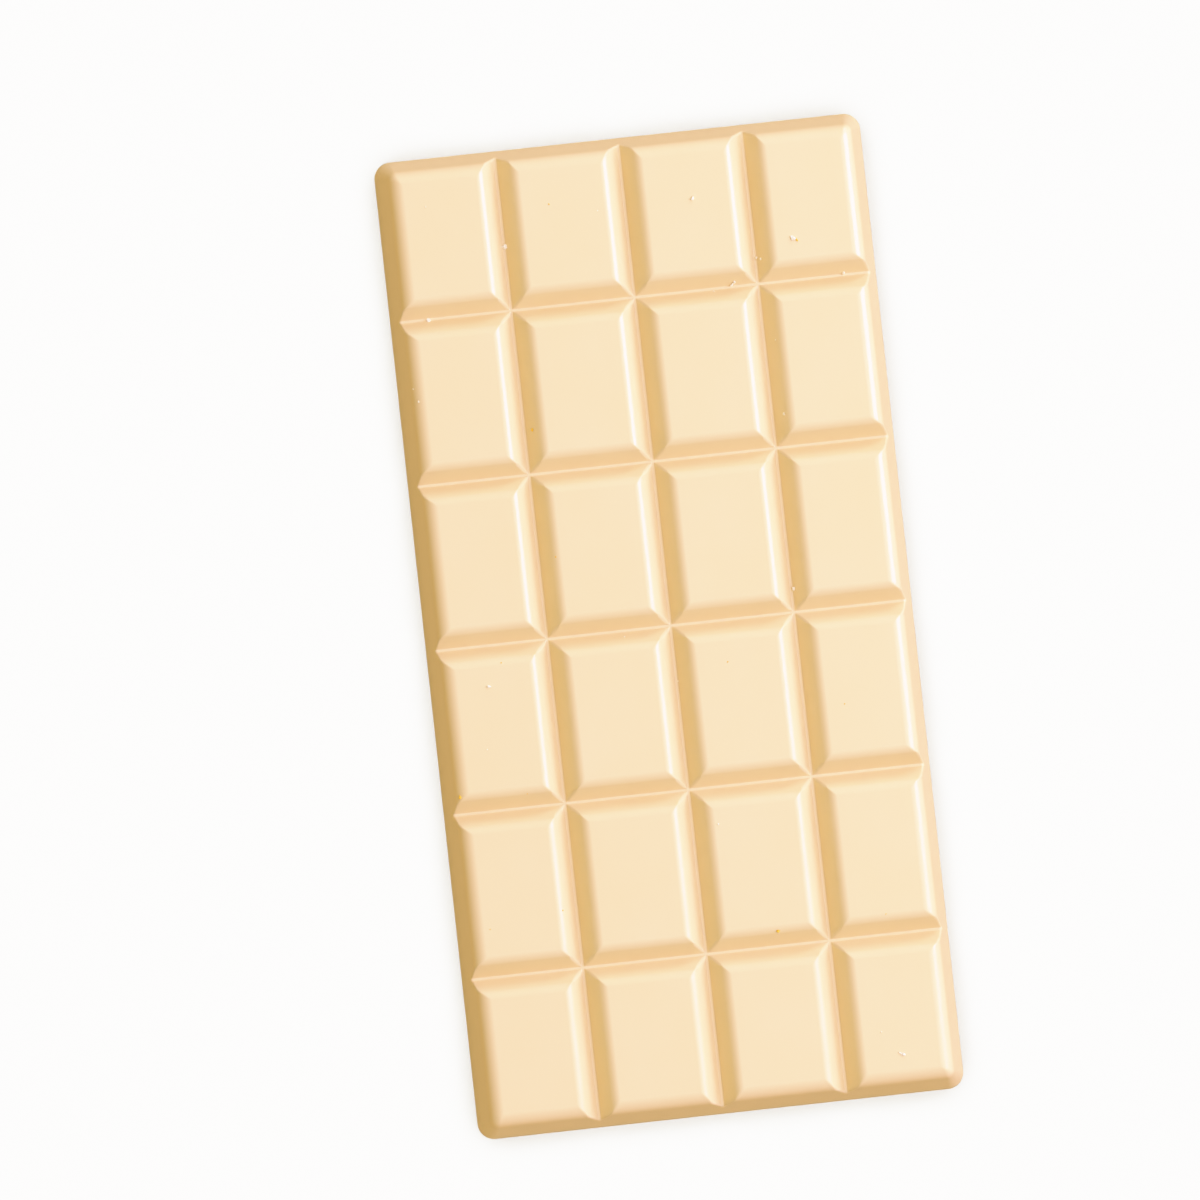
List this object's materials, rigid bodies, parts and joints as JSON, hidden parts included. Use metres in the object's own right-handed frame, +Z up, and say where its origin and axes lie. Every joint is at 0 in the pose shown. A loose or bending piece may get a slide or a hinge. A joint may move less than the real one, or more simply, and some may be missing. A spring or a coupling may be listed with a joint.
{
  "type": "white chocolate bar",
  "caption": "Flat rectangular tablet of white chocolate, moulded into rows of bevelled blocks by V-shaped grooves so that pieces snap off.",
  "frame": {"origin": "middle of the flat underside, on the surface the tablet lies on", "axes": "+Z up through the thickness, +Y along the length, +X across the width"},
  "size_m": [0.075, 0.1504, 0.0085],
  "materials": {
    "white_chocolate": "ivory white chocolate, satin gloss on the moulded faces and softly rounded edges, duller on the flat poured underside"
  },
  "bodies": {
    "root": {"chocolate_bar": "white_chocolate"}
  },
  "joints": []
}
